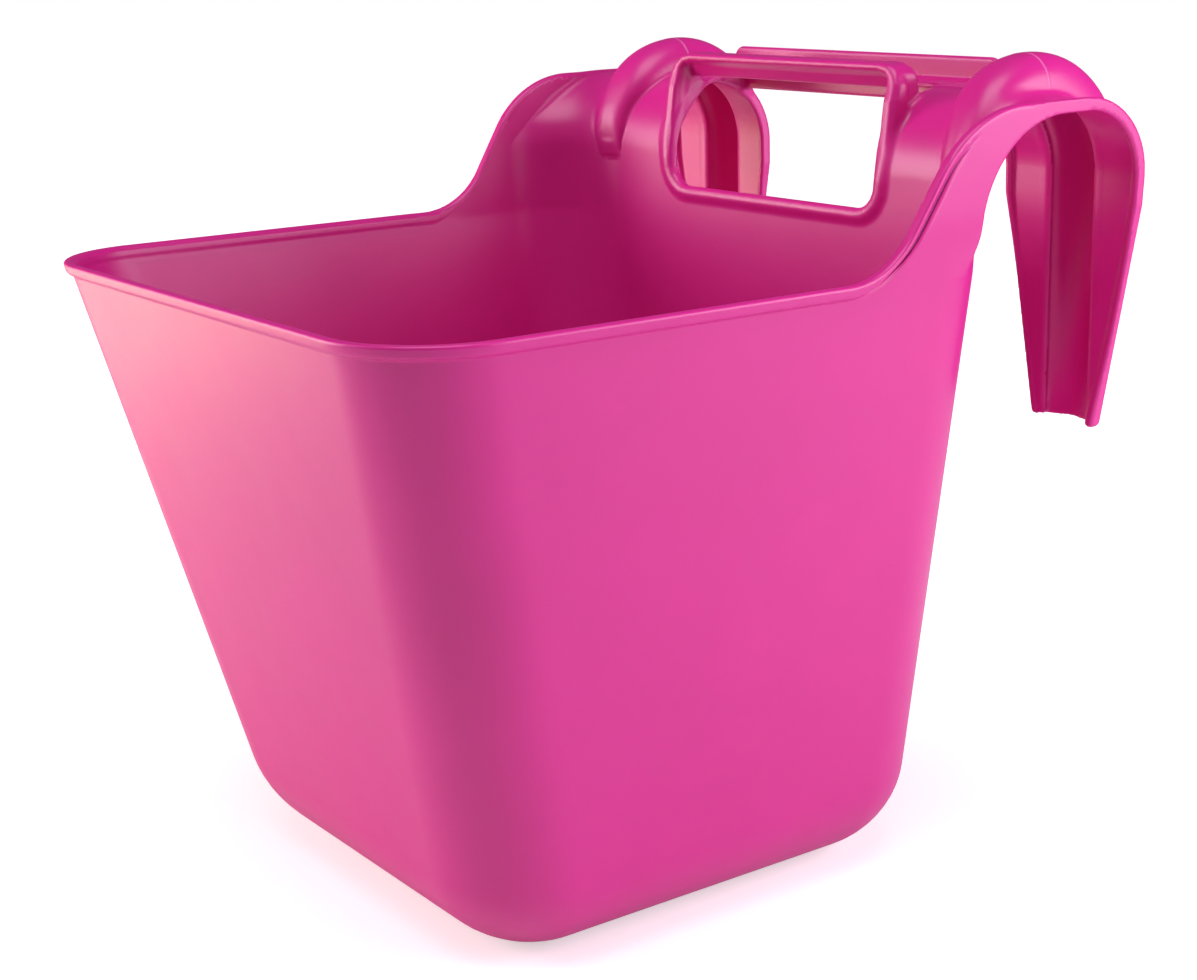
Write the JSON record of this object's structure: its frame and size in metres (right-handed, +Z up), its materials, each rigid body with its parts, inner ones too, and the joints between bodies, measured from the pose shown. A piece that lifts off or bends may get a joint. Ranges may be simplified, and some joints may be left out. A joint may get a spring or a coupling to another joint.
{
  "type": "hanging feed bucket",
  "caption": "Tapered plastic feed bucket with rounded corners that hangs on a door or rail by a pair of broad ridged hooks, with a carry-handle window between them.",
  "frame": {"origin": "centre of the flat underside of the base", "axes": "+Z up, +Y to the rear where the hooks are, -Y to the front, +X to the bucket's right as seen from the front with the rim up; the outer face of the back wall is upright and square to +Y"},
  "size_m": [0.3072, 0.368, 0.3359],
  "materials": {
    "pink_plastic": "satin moulded low-density polyethylene"
  },
  "bodies": {
    "root": {"tub_shell": "pink_plastic", "rim_lip": "pink_plastic", "left_shoulder": "pink_plastic", "right_shoulder": "pink_plastic", "left_hook_crown": "pink_plastic", "right_hook_crown": "pink_plastic", "left_hook_arm": "pink_plastic", "right_hook_arm": "pink_plastic", "back_panel": "pink_plastic", "top_bridge": "pink_plastic", "rear_strip": "pink_plastic", "left_handle_post": "pink_plastic", "right_handle_post": "pink_plastic", "handle_bar": "pink_plastic"}
  },
  "joints": []
}
